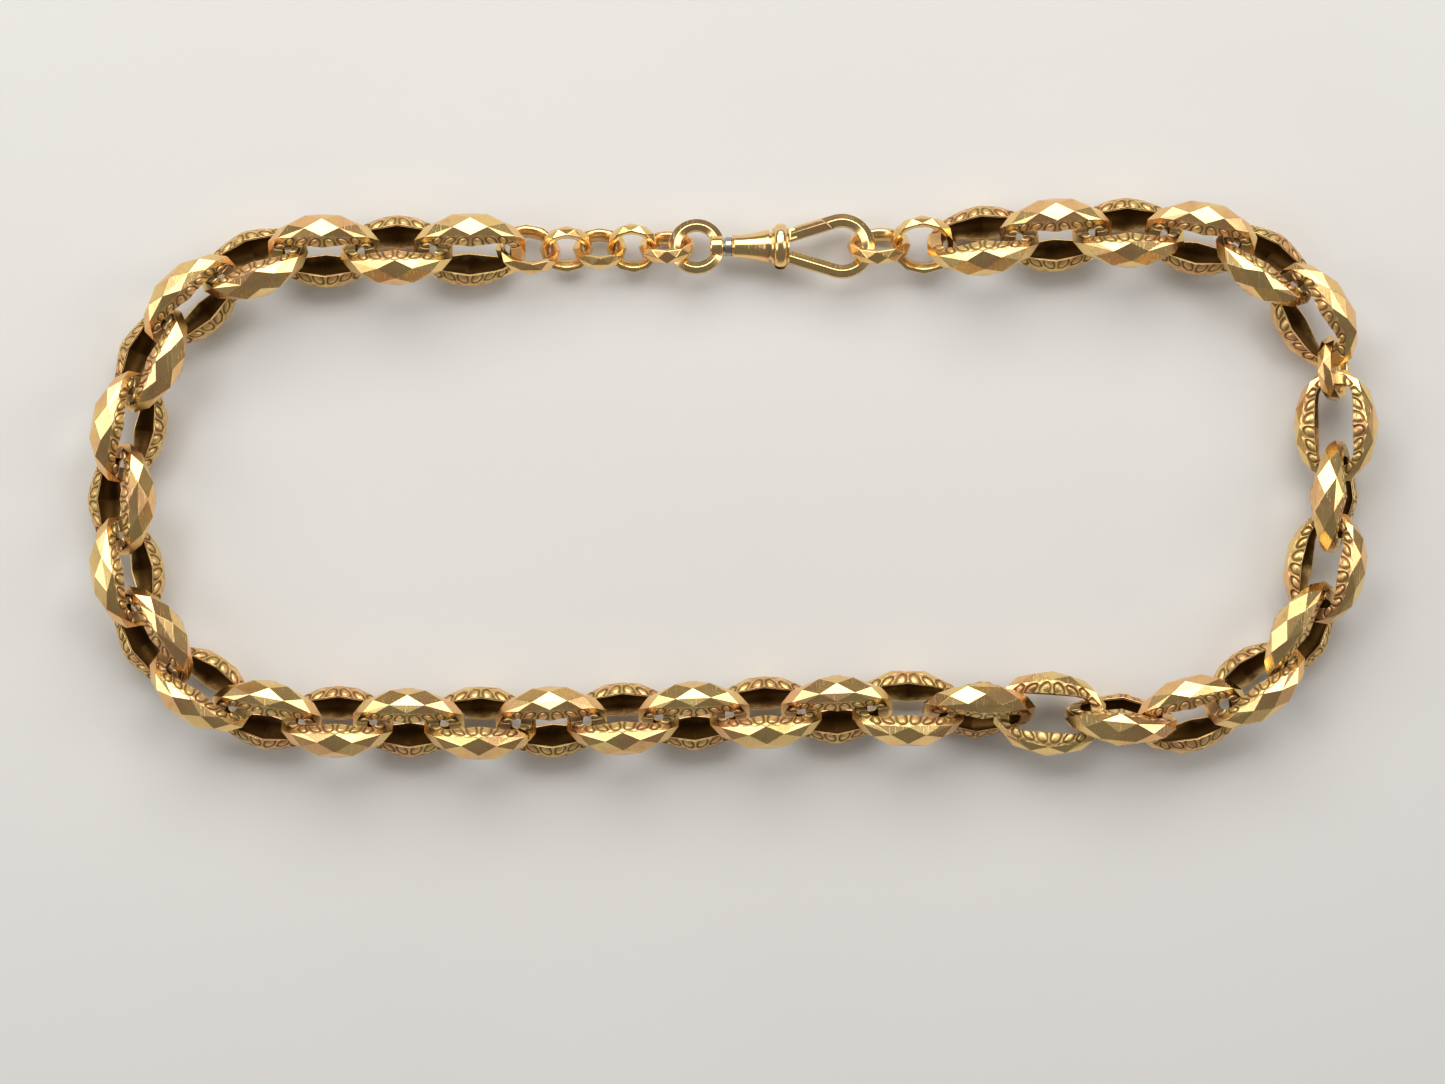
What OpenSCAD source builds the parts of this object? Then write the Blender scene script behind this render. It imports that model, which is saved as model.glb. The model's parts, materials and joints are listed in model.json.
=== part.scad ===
// Pocket watch chain laid down as a closed loop: hollow faceted links, small rings and a swivel clip.
// Sizes are in millimetres. +Z is up, and the origin is on the table under the middle of the loop.

/* [Links] */
// Length of a link over its ends
link_length = 15; // [14.5:0.25:16]
// Width of a link over the ridges of its arms
link_width = 11.5; // [11:0.25:12.5]
// Thickness of a link at the middle of its arms
link_depth = 4.8; // [4.25:0.05:5]
// Thickness of a link at its two ends
link_end_depth = 1.8; // [1.5:0.1:2]
// Length of the two flat faces of a link
face_length = 13.9; // [13.2:0.1:14.2]
// Width of the two flat faces of a link over both arms
face_width = 9.2; // [8.6:0.1:9.8]
// Width of the hole through a link
hole_width = 5.2; // [5:0.1:5.6]
// Thickness of a link's ends, from the hole outwards
end_wall = 1.95; // [1.8:0.05:2.05]
// Thickness of the sheet that the links are pressed from
sheet = 0.35; // [0.25:0.05:0.45]
// Play between the ends of two hooked links
hook_gap = 1.4; // [1.2:0.05:1.6]

/* [Rings] */
// Radial thickness of the small rings
ring_wire = 1.35; // [1.1:0.05:1.45]
// Thickness of the small rings along their axis
ring_depth = 1.8; // [1.5:0.1:1.9]
// Outer diameter of the ring in the last link before the clip
end_ring_d = 8.9; // [8.5:0.1:9.5]
// Outer diameter of the three rings next to it
chain_ring_d = 7.4; // [7.2:0.1:8]
// Outer diameter of the ring in the swivel
swivel_side_ring_d = 7.7; // [7.4:0.1:8.2]
// Outer diameter of the ring that the bow hooks
bow_ring_d = 8.7; // [8.3:0.1:9.2]
// Outer diameter of the ring in the first link after the clip
first_ring_d = 9.2; // [8.8:0.1:9.8]
// Outer diameter of the repair ring in the side of the loop
repair_ring_d = 9; // [8.8:0.1:9.4]
// Play between the small rings
ring_gap = 0.3; // [0.25:0.05:0.5]
// Play of the rings that the clip holds
clip_gap = 1.2; // [1:0.05:1.4]

/* [Swivel] */
// Outer diameter of the swivel ring
swivel_ring_d = 7.6; // [7.2:0.1:8.4]
// Radial width of the swivel ring's band
swivel_band = 1.65; // [1.5:0.05:1.7]
// Thickness of the swivel ring at its ridge
swivel_ring_depth = 1.6; // [1.4:0.1:2]
// Diameter of the boss that the stud turns in
boss_d = 3; // [2.8:0.1:3.4]
// Length of that boss
boss_length = 1.9; // [1.8:0.1:2.4]
// Diameter of the stud where it turns in the boss
stud_d = 1.5; // [1.2:0.1:1.7]
// Diameter of the stud's round head, sunk in the boss
stud_head_d = 2.2; // [2:0.1:2.3]
// Length of the stud's head
stud_head_length = 0.5; // [0.4:0.1:0.7]
// Diameter of the stud's collar between the boss and the barrel
collar_d = 2.6; // [2.3:0.1:2.9]
// Length of that collar
collar_length = 1; // [0.8:0.1:1.4]
// Running clearance of the swivel and of the gate
running_gap = 0.1; // [0.08:0.01:0.14]

/* [Barrel] */
// Length of the flared barrel, without its bead
barrel_length = 5; // [4.5:0.1:6]
// Diameter of the barrel beside the stud's collar
barrel_small_d = 3.2; // [3:0.1:3.6]
// Diameter of the barrel beside its bead
barrel_large_d = 4.6; // [4.2:0.1:5]
// Diameter of the bead
bead_d = 6.2; // [6:0.1:6.8]
// Width of the bead along the clip
bead_length = 2.4; // [2.3:0.1:2.8]
// Width of the groove between barrel and bead
groove_width = 0.35; // [0.25:0.05:0.5]

/* [Bow and gate] */
// Width of the bow over its round end
bow_width = 8.9; // [8.5:0.1:9.3]
// Length of the bow from the bead
bow_length = 11.55; // [11.25:0.1:12.45]
// Width of the bow's bar
bow_bar = 1.8; // [1.6:0.05:1.9]
// Thickness of the bow's bar at its ridge
bow_depth = 1.8; // [1.5:0.1:2]
// Spacing of the bow's two arms where they leave the bead
arm_spacing = 3; // [2.8:0.1:3.2]
// Length of the gate from the bead to its oblique joint
gate_length = 5.2; // [4.8:0.1:5.4]
// Thickness of the gate's tongue inside the bead
tongue_depth = 1.3; // [1:0.1:1.4]
// Diameter of the pin that the gate turns on
gate_pin_d = 0.7; // [0.6:0.05:0.8]
// Thickness of the leaf spring beside the gate's tongue
leaf = 0.2; // [0.15:0.05:0.25]

/* [Hidden] */
$fn = 24;
gold = [0.83, 0.63, 0.33];
steel = [0.62, 0.61, 0.58];

// Loop order: links 1 to 6, repair ring, links 7 to 36, rings a to e, clip, rings g and h
links = 36;
links_before_repair = 6;
repair_place = links_before_repair;
first_small = links + 1;
clip_place = first_small + 5;
places = links + 9;

// Stretches of the loop, set by hand: how many places, and the headings of the first and the last of them
// in degrees anticlockwise from +X. The places between turn evenly
stretches = [
    [3, 5, 0],
    [4, -10, -85],
    [2, -90, -95],
    [4, -100, -165],
    [4, -185, -180],
    [5, -177, -177],
    [3, -180, -180],
    [4, -190, -260],
    [2, -270, -280],
    [3, -295, -340],
    [11, -360, -360]
];
heading = [
    for (s = stretches)
        for (k = [0 : s[0] - 1])
            s[1] + (s[2] - s[1]) * k / (s[0] - 1)
];

// Roll of each place about its heading, with the left arm raised where it is positive
roll = [
    -45, 45, -45, 45, -47, 40,
    -64,
    16, -70, 27, -58, 49, -35, 74, 4, -66, 36, -50, 45, -48, 45, -43,
    43, -48, 47, -48, 45, -48, 48, -45, 45, -48, 46, -48, 45, -45, 45,
    -45, 45, -48, 36, -63,
    -10,
    -62, 40
];

function is_ring(p) = p == repair_place || (p >= first_small && p != clip_place);
function is_clip(p) = p == clip_place;
function is_link(p) = !is_ring(p) && !is_clip(p);
function link_place(i) = i <= links_before_repair ? i - 1 : i;

ring_names = ["repair_ring", "ring_a", "ring_b", "ring_c", "ring_d", "ring_e", "ring_g", "ring_h"];
ring_places = [
    repair_place, first_small, first_small + 1, first_small + 2, first_small + 3, first_small + 4,
    clip_place + 1, clip_place + 2
];
clip_names = ["swivel_ring", "swivel_stud", "barrel", "bow", "gate", "gate_pin", "gate_spring"];
function link_name(i) = str("link_", i < 10 ? "0" : "", i);

function ring_d(p) =
    p == repair_place ? repair_ring_d :
    p == first_small ? end_ring_d :
    p == first_small + 4 ? swivel_side_ring_d :
    p == clip_place + 1 ? bow_ring_d :
    p == clip_place + 2 ? first_ring_d :
    chain_ring_d;

// Clip places along its axis, with x = 0 at the bead's outer face
barrel_end = -bead_length - groove_width - barrel_length;
boss_end = barrel_end - collar_length - running_gap;
boss_start = boss_end - boss_length;
swivel_x = boss_end - swivel_ring_d / 2 + running_gap;
bow_outer = bow_width / 2;
bow_middle = bow_outer - bow_bar / 2;
bow_x = bow_length - bow_outer;
clip_left = swivel_x - swivel_ring_d / 2 + swivel_band;
clip_right = bow_length - bow_bar;

hole_length = link_length - 2 * end_wall;

// Distance between a place's two hooking points
function span(p) =
    is_link(p) ? hole_length - hook_gap :
    is_clip(p) ? clip_right - clip_left - clip_gap :
    ring_d(p) - 2 * ring_wire - ring_gap;

// Height of each place's middle when it lies on the table by itself
function rest_height(p) =
    is_clip(p) ? bead_d / 2 :
    is_link(p) ? max(
        link_width / 2 * sin(abs(roll[p])),
        face_width / 2 * sin(abs(roll[p])) + link_depth / 2 * cos(roll[p])
    ) :
    ring_d(p) / 2 * sin(abs(roll[p])) + ring_depth / 4 * cos(roll[p]);

function joint_height(p) =
    let (q = (p + 1) % places)
    is_clip(p) ? rest_height(p) :
    is_clip(q) ? rest_height(q) :
    (rest_height(p) + rest_height(q)) / 2;

function rise(p) = joint_height(p) - joint_height((p + places - 1) % places);
function reach(p) = sqrt(span(p) ^ 2 - rise(p) ^ 2);

// Hooking points in order, each at the far end of its place, with the closing error shared out evenly
function walk(p, at) =
    p == places ? [] :
    let (next = at + reach(p) * [cos(heading[p]), sin(heading[p])])
    concat([next], walk(p + 1, next));
open_walk = walk(0, [0, 0]);
closing_error = open_walk[places - 1];
loop = [for (p = [0 : places - 1]) open_walk[p] - closing_error * (p + 1) / places];
function hook(p) = let (q = (p + places) % places) [loop[q].x, loop[q].y, joint_height(q)];

function middle(p) = (hook(p) + hook(p - 1)) / 2;
function direction(p) = hook(p) - hook(p - 1);
function turn_of(p) = atan2(direction(p).y, direction(p).x);
function slope_of(p) = atan2(direction(p).z, norm([direction(p).x, direction(p).y]));

// A point given in a place's own frame, carried to where it lies
function rolled(v, a) = [v.x, v.y * cos(a) - v.z * sin(a), v.y * sin(a) + v.z * cos(a)];
function sloped(v, a) = [v.x * cos(a) - v.z * sin(a), v.y, v.x * sin(a) + v.z * cos(a)];
function turned(v, a) = [v.x * cos(a) - v.y * sin(a), v.x * sin(a) + v.y * cos(a), v.z];
function laid(v, p) = turned(sloped(rolled(v, roll[p]), slope_of(p)), turn_of(p)) + middle(p);

// Facets of the links and rings: corners stand at odd and even stations by turns, row by row
facets = 10;
station = 180 / facets;
odd_stations = [for (j = [0 : facets - 1]) (2 * j + 1) * station];
even_stations = [for (j = [0 : facets - 1]) 2 * j * station];
all_stations = [for (m = [0 : 2 * facets - 1]) m * station];
shoulder_share_middle = 0.58;
shoulder_share_end = 0.85;
hole_power = 0.43;

function oval(a, length, width) = [length / 2 / cos(station) * cos(a), width / 2 * sin(a)];
function powered(v) = sign(v) * abs(v) ^ hole_power;
function hole_edge(a) = [hole_length / 2 * powered(cos(a)), hole_width / 2 * powered(sin(a))];
function along(x) = abs(x) / (link_length / 2);
function half_depth(x) = (link_depth + (link_end_depth - link_depth) * along(x)) / 2;
function shoulder(x) =
    half_depth(x) * (shoulder_share_middle + (shoulder_share_end - shoulder_share_middle) * along(x));

face_row = [for (a = odd_stations) oval(a, face_length, face_width)];
shoulder_row = [for (a = even_stations) oval(a, link_length, link_width) * cos(station)];
ridge_row = [for (a = odd_stations) oval(a, link_length, link_width)];
hole_row = [for (a = all_stations) hole_edge(a)];
channel_row = [for (a = odd_stations) oval(a, face_length - 2 * sheet, face_width - 2 * sheet)];
channel_ridge_row = [for (a = odd_stations) oval(a, link_length - 2 * sheet, link_width - 2 * sheet)];

function on_face(row, side, below) = [for (v = row) [v.x, v.y, side * (half_depth(v.x) - below)]];
link_points = concat(
    on_face(face_row, 1, 0),
    [for (v = shoulder_row) [v.x, v.y, shoulder(v.x)]],
    [for (v = ridge_row) [v.x, v.y, 0]],
    [for (v = shoulder_row) [v.x, v.y, -shoulder(v.x)]],
    on_face(face_row, -1, 0),
    on_face(channel_row, 1, sheet),
    [for (v = channel_ridge_row) [v.x, v.y, 0]],
    on_face(channel_row, -1, sheet),
    on_face(hole_row, 1, 0),
    on_face(hole_row, 1, sheet),
    on_face(hole_row, -1, sheet),
    on_face(hole_row, -1, 0)
);

// Numbers of the rows' first points in link_points
face_top = 0;
shoulder_top = facets;
ridge = 2 * facets;
shoulder_low = 3 * facets;
face_low = 4 * facets;
channel_top = 5 * facets;
channel_ridge = 6 * facets;
channel_low = 7 * facets;
hole_top = 8 * facets;
hole_top_under = 10 * facets;
hole_low_upper = 12 * facets;
hole_low = 14 * facets;

function at(row, j) = row + (j % facets);
function edge(row, m) = row + ((m + 2 * facets) % (2 * facets));
function flipped(faces) = [for (f = faces) [f[2], f[1], f[0]]];

// Ring of triangles between an outer row of corners and the hole's edge, seen clockwise from above
function flange(outer, inner) = [
    for (j = [0 : facets - 1])
        for (f = [
            [at(outer, j), edge(inner, 2 * j), edge(inner, 2 * j + 1)],
            [at(outer, j), edge(inner, 2 * j + 1), edge(inner, 2 * j + 2)],
            [at(outer, j), edge(inner, 2 * j + 2), at(outer, j + 1)]
        ]) f
];
// Wall of quads on the inside of the hole, between an upper and a lower row
function lip(upper, lower) = [
    for (m = [0 : 2 * facets - 1])
        [edge(upper, m + 1), edge(upper, m), edge(lower, m), edge(lower, m + 1)]
];
// Inside wall of triangles between two rows of odd stations
function channel_wall(upper, lower) = [
    for (j = [0 : facets - 1])
        for (f = [
            [at(upper, j + 1), at(upper, j), at(lower, j)],
            [at(upper, j + 1), at(lower, j), at(lower, j + 1)]
        ]) f
];
// Outside band of facets from an upper odd row down to a lower even row
function band_down(upper, lower) = [
    for (j = [0 : facets - 1])
        for (f = [
            [at(upper, j), at(upper, j + 1), at(lower, j + 1)],
            [at(upper, j), at(lower, j + 1), at(lower, j)]
        ]) f
];
function band_up(lower, upper) = flipped(band_down(lower, upper));
function ridge_diamonds(upper, middle_row, lower) = [
    for (j = [0 : facets - 1])
        [at(middle_row, j), at(upper, j + 1), at(middle_row, j + 1), at(lower, j + 1)]
];
function tip_triangles(row, tip) = [
    for (j = [0 : facets - 1])
        [at(row, j), at(row, j + 1), at(tip, j)]
];

link_faces = concat(
    band_down(face_top, shoulder_top),
    tip_triangles(shoulder_top, ridge),
    ridge_diamonds(shoulder_top, ridge, shoulder_low),
    flipped(tip_triangles(shoulder_low, ridge)),
    band_up(face_low, shoulder_low),
    flange(face_top, hole_top),
    lip(hole_top, hole_top_under),
    flipped(flange(channel_top, hole_top_under)),
    channel_wall(channel_top, channel_ridge),
    channel_wall(channel_ridge, channel_low),
    flange(channel_low, hole_low_upper),
    lip(hole_low_upper, hole_low),
    flipped(flange(face_low, hole_low))
);

// Small rings: faceted outside, smooth inside
ring_bevel = 0.35;
ring_lip = 0.35;
function circle_row(stations, r, z) = [for (a = stations) [r * cos(a), r * sin(a), z]];
function ring_points(d) =
    let (half = ring_depth / 2, inner = d / 2 - ring_wire, top = d / 2 - ring_bevel)
    concat(
        circle_row(odd_stations, top, half),
        circle_row(even_stations, d / 2, 0),
        circle_row(odd_stations, top, -half),
        circle_row(all_stations, inner + ring_lip, half),
        circle_row(all_stations, inner, 0),
        circle_row(all_stations, inner + ring_lip, -half)
    );
ring_faces =
    let (top = 0, outer = facets, low = 2 * facets)
    let (lip_top = 3 * facets, bore = 5 * facets, lip_low = 7 * facets)
    concat(
        band_down(top, outer),
        band_up(low, outer),
        flange(top, lip_top),
        lip(lip_top, bore),
        lip(bore, lip_low),
        flipped(flange(low, lip_low))
    );

// The table lies under the lowest corner, and the origin under the middle of the loop
corners = concat(
    [
        for (p = [0 : places - 1])
            if (is_link(p))
                for (i = [0 : face_low + facets - 1]) laid(link_points[i], p)
    ],
    [for (p = [0 : places - 1]) if (is_ring(p)) for (v = ring_points(ring_d(p))) laid(v, p)],
    [middle(clip_place) - [0, 0, bead_d / 2]]
);
low_corner = [for (k = [0 : 2]) min([for (v = corners) v[k]])];
high_corner = [for (k = [0 : 2]) max([for (v = corners) v[k]])];
origin = [(low_corner.x + high_corner.x) / 2, (low_corner.y + high_corner.y) / 2, low_corner.z];

module place(p) {
    translate(middle(p) - origin)
        rotate([0, -slope_of(p), turn_of(p)])
            rotate([roll[p], 0, 0])
                children();
}

// One link's seam has parted: a slit through a corner of its wall, at this angle about its middle
parted_link = 22;
seam_angle = 158;
seam_width = 0.4;

module link_shell() {
    polyhedron(points = link_points, faces = link_faces);
}

module parted_seam() {
    rotate([0, 0, seam_angle])
        translate([0, -seam_width / 2, -link_depth])
            cube([link_length, seam_width, 2 * link_depth]);
}

module chain_link(i) {
    color(gold)
        place(link_place(i))
            if (i == parted_link)
                difference() {
                    link_shell();
                    parted_seam();
                }
            else
                link_shell();
}

module chain_ring(p) {
    color(gold)
        place(p)
            polyhedron(points = ring_points(ring_d(p)), faces = ring_faces);
}

// Clip frame: x runs along the clip, from the swivel ring to the bow
module clip_frame() {
    place(clip_place)
        translate([-(clip_left + clip_right) / 2, 0, 0])
            children();
}

// Turned shape about the clip's axis, from an outline of [x, radius] points
module turned_on_axis(outline) {
    rotate([90, 0, 90])
        rotate_extrude()
            polygon([for (v = outline) [v.y, v.x]]);
}

ridge_edge = 0.35;
function roof_section(width, depth) = [
    [-width / 2, -ridge_edge], [0, -depth / 2], [width / 2, -ridge_edge],
    [width / 2, ridge_edge], [0, depth / 2], [-width / 2, ridge_edge]
];

module swivel_ring() {
    head_seat = stud_head_length + running_gap;
    color(gold)
        clip_frame()
            difference() {
                union() {
                    translate([swivel_x, 0, 0])
                        rotate_extrude()
                            translate([swivel_ring_d / 2 - swivel_band / 2, 0])
                                polygon(roof_section(swivel_band, swivel_ring_depth));
                    turned_on_axis([
                        [boss_start, 0],
                        [boss_end, 0],
                        [boss_end, boss_d / 2],
                        [boss_start, boss_d / 2]
                    ]);
                }
                translate([boss_start - boss_length, 0, 0])
                    rotate([0, 90, 0]) {
                        cylinder(d = stud_d + 2 * running_gap, h = 3 * boss_length);
                        cylinder(d = stud_head_d + 2 * running_gap, h = boss_length + head_seat);
                    }
            }
}

// The stud is pressed this far into the barrel, and its head tapers to half its width
stud_share = 0.6;
head_edge_share = 0.4;
stud_end = barrel_end + barrel_length * stud_share;

module swivel_stud() {
    head_end = boss_start + stud_head_length;
    color(steel)
        clip_frame()
            turned_on_axis([
                [boss_start, 0],
                [stud_end, 0],
                [stud_end, stud_d / 2],
                [barrel_end, stud_d / 2],
                [barrel_end, collar_d / 2],
                [barrel_end - collar_length, collar_d / 2],
                [barrel_end - collar_length, stud_d / 2],
                [head_end, stud_d / 2],
                [head_end, stud_head_d / 2],
                [head_end - stud_head_length * head_edge_share, stud_head_d / 2],
                [boss_start, stud_head_d / 4]
            ]);
}

// Flare of the barrel: a hollow curve from the small end to the large one
flare_steps = 5;
flare = [
    for (k = [0 : flare_steps])
        let (t = k / flare_steps)
        [barrel_end + barrel_length * t, (barrel_small_d + (barrel_large_d - barrel_small_d) * t ^ 2) / 2]
];
bead_edge = 0.55;
slot_floor = 0.4;
slot_start = slot_floor - bead_length;
slot_height = tongue_depth + 2 * running_gap;

module barrel() {
    groove_r = barrel_large_d / 2 - groove_width;
    color(gold)
        clip_frame()
            difference() {
                turned_on_axis(concat(
                    [[barrel_end, 0]],
                    flare,
                    [
                        [-bead_length - groove_width, groove_r],
                        [-bead_length, groove_r],
                        [-bead_length, bead_d / 2 - bead_edge],
                        [-bead_length + bead_edge, bead_d / 2],
                        [-bead_edge, bead_d / 2],
                        [0, bead_d / 2 - bead_edge],
                        [0, 0]
                    ]
                ));
                translate([barrel_end - collar_length, 0, 0])
                    rotate([0, 90, 0])
                        cylinder(d = stud_d, h = stud_end - barrel_end + collar_length);
                translate([slot_start, -bead_d, -slot_height / 2])
                    cube([bead_length, 2 * bead_d, slot_height]);
                translate([gate_pivot.x, gate_pivot.y, -bead_d])
                    cylinder(d = gate_pin_d, h = 2 * bead_d);
            }
}

// Straight arms from the bead to where they touch the round end
arm_y = arm_spacing / 2;
arm_slope = asin(bow_middle / norm([bow_x, arm_y])) - atan(arm_y / bow_x);
arm_length = sqrt(bow_x ^ 2 + arm_y ^ 2 - bow_middle ^ 2);
joint_slant = 37;
gate_pivot = [-bead_length / 2, arm_y - bead_length / 2 * tan(arm_slope)];
// The arms run on this far into the round end, which holds them
arm_lap = 0.1;

// Frame of the upper arm: x runs along it from the bead's face, y points out of the bow
module upper_arm() {
    translate([0, arm_y, 0])
        rotate([0, 0, arm_slope])
            children();
}

module bar(from, to) {
    translate([from, 0, 0])
        rotate([90, 0, 90])
            linear_extrude(to - from)
                polygon(roof_section(bow_bar, bow_depth));
}

// Half space beyond the bead's face, set off by a gap
module beyond_bead(gap) {
    translate([gap, -bow_width, -bow_depth])
        cube([bow_length, 2 * bow_width, 2 * bow_depth]);
}

// Half space on the nose's side of the oblique joint, set back by a gap
module nose_side(gap) {
    translate([gate_length + gap, 0, -bow_depth])
        rotate([0, 0, joint_slant])
            translate([0, -2 * bow_bar, 0])
                cube([4 * bow_bar, 4 * bow_bar, 2 * bow_depth]);
}

module bow() {
    color(gold)
        clip_frame() {
            translate([bow_x, 0, 0])
                rotate([0, 0, -90 - arm_slope])
                    rotate_extrude(angle = 180 + 2 * arm_slope)
                        translate([bow_middle, 0])
                            polygon(roof_section(bow_bar, bow_depth));
            intersection() {
                mirror([0, 1, 0])
                    upper_arm()
                        bar(slot_start, arm_length + arm_lap);
                beyond_bead(0);
            }
            intersection() {
                mirror([0, 1, 0])
                    upper_arm()
                        bar(slot_start, arm_length / 2);
                translate([slot_start, -bead_d, -tongue_depth / 2])
                    cube([bead_length, bead_d - leaf / 2 - running_gap, tongue_depth]);
            }
            intersection() {
                upper_arm()
                    bar(gate_length / 2, arm_length + arm_lap);
                upper_arm()
                    nose_side(running_gap);
            }
        }
}

tongue_share = 0.8;
tongue_width = bow_bar * tongue_share;

module gate() {
    pivot_in_arm = -bead_length / 2 / cos(arm_slope);
    color(gold)
        clip_frame()
            difference() {
                union() {
                    intersection() {
                        upper_arm()
                            difference() {
                                bar(slot_start, gate_length + bow_bar);
                                nose_side(0);
                            }
                        beyond_bead(2 * running_gap);
                    }
                    translate([gate_pivot.x, gate_pivot.y, -tongue_depth / 2])
                        cylinder(d = tongue_width, h = tongue_depth);
                    upper_arm()
                        translate([pivot_in_arm, -tongue_width / 2, -tongue_depth / 2])
                            cube([bow_bar / 2 - pivot_in_arm, tongue_width, tongue_depth]);
                }
                translate([gate_pivot.x, gate_pivot.y, -bow_depth])
                    cylinder(d = gate_pin_d + running_gap, h = 2 * bow_depth);
            }
}

module gate_pin() {
    reach_up = sqrt((bead_d / 2) ^ 2 - gate_pivot.y ^ 2);
    color(steel)
        clip_frame()
            translate([gate_pivot.x, gate_pivot.y, -reach_up])
                cylinder(d = gate_pin_d, h = 2 * reach_up);
}

// Leaf spring: it lies in the slot, and its tip bears on the inside of the gate's tongue
leaf_reach = -0.2;
leaf_bend = -bead_length / 3;
module gate_spring() {
    tongue_inside = arm_y + leaf_reach * tan(arm_slope) - tongue_width / 2 / cos(arm_slope);
    tip_y = tongue_inside - running_gap - leaf / 2;
    route = [[slot_start, 0], [leaf_bend, 0], [leaf_reach, tip_y]];
    color(steel)
        clip_frame()
            translate([0, 0, -tongue_depth / 2])
                linear_extrude(tongue_depth)
                    polygon(concat(
                        [for (v = route) v + [0, leaf / 2]],
                        [for (k = [len(route) - 1 : -1 : 0]) route[k] - [0, leaf / 2]]
                    ));
}

for (i = [1 : links])
    chain_link(i);
for (k = [0 : len(ring_names) - 1])
    chain_ring(ring_places[k]);
swivel_ring();
swivel_stud();
barrel();
bow();
gate();
gate_pin();
gate_spring();
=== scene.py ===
"""Looks of a pocket watch chain: punched hollow links, faceted rings and a swivel clip."""
import json
import math

import bmesh
import bpy
import numpy as np
from mathutils import Matrix, Vector


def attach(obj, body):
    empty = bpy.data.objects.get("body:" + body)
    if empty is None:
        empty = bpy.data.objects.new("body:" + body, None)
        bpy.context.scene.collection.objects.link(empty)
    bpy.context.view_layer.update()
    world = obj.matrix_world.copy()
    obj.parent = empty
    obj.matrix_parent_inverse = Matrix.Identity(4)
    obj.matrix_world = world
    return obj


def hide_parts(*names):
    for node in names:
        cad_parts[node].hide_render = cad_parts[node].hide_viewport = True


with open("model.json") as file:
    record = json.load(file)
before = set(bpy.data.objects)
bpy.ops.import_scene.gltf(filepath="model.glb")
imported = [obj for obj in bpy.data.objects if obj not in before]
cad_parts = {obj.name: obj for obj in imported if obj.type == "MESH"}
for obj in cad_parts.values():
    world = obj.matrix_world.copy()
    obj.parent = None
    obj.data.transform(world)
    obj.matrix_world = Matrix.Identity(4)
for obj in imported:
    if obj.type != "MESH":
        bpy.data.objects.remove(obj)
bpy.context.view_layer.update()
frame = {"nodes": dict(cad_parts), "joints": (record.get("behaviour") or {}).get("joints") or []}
nodes = frame["nodes"]

# Sizes of links and rings in millimetres, as in the solids
MM = 0.001
FACETS = 10
STATION = math.pi / FACETS
ODD = [(2 * j + 1) * STATION for j in range(FACETS)]
EVEN = [2 * j * STATION for j in range(FACETS)]

LINKS = 36
LINK_LENGTH, LINK_WIDTH, LINK_DEPTH, LINK_END_DEPTH = 15.0, 11.5, 4.8, 1.8
FACE_LENGTH, FACE_WIDTH = 13.9, 9.2
HOLE_LENGTH, HOLE_WIDTH, HOLE_POWER = 11.1, 5.2, 0.43
SHEET = 0.35
SHOULDER_MIDDLE, SHOULDER_END = 0.58, 0.85
PARTED_LINK, SEAM_ANGLE, SEAM_WIDTH = 22, math.radians(158), 0.4

RING_WIRE, RING_DEPTH, RING_BEVEL, RING_LIP = 1.35, 1.8, 0.35, 0.35
RING_DIAMETERS = {
    "repair_ring": 9.0, "ring_a": 8.9, "ring_b": 7.4, "ring_c": 7.4, "ring_d": 7.4,
    "ring_e": 7.7, "ring_g": 8.7, "ring_h": 9.2,
}


class Field:
    """A node's socket that takes part in sums, in a material or in Geometry Nodes."""

    def __init__(self, bench, socket):
        self.bench = bench
        self.socket = socket

    def maths(self, operation, first, second=0.0):
        return self.bench.add("ShaderNodeMath", {"operation": operation}, {0: first, 1: second})

    def __add__(self, other):
        return self.maths("ADD", self, other)

    def __radd__(self, other):
        return self.maths("ADD", other, self)

    def __sub__(self, other):
        return self.maths("SUBTRACT", self, other)

    def __rsub__(self, other):
        return self.maths("SUBTRACT", other, self)

    def __mul__(self, other):
        return self.maths("MULTIPLY", self, other)

    def __rmul__(self, other):
        return self.maths("MULTIPLY", other, self)

    def __truediv__(self, other):
        return self.maths("DIVIDE", self, other)

    def __rtruediv__(self, other):
        return self.maths("DIVIDE", other, self)

    def __pow__(self, other):
        return self.maths("POWER", self, other)

    def __neg__(self):
        return self.maths("MULTIPLY", self, -1.0)

    def fraction(self):
        return self.maths("FRACT", self)

    def exponential(self):
        return self.maths("EXPONENT", self)

    def lesser(self, other):
        return self.maths("MINIMUM", self, other)

    def below(self, limit):
        return self.maths("LESS_THAN", self, limit)

    def stepped(self, low, high):
        """0 at low and 1 at high, eased between them."""
        return self.bench.add(
            "ShaderNodeMapRange",
            {"interpolation_type": "SMOOTHSTEP"},
            {"Value": self, "From Min": low, "From Max": high},
        )


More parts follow.
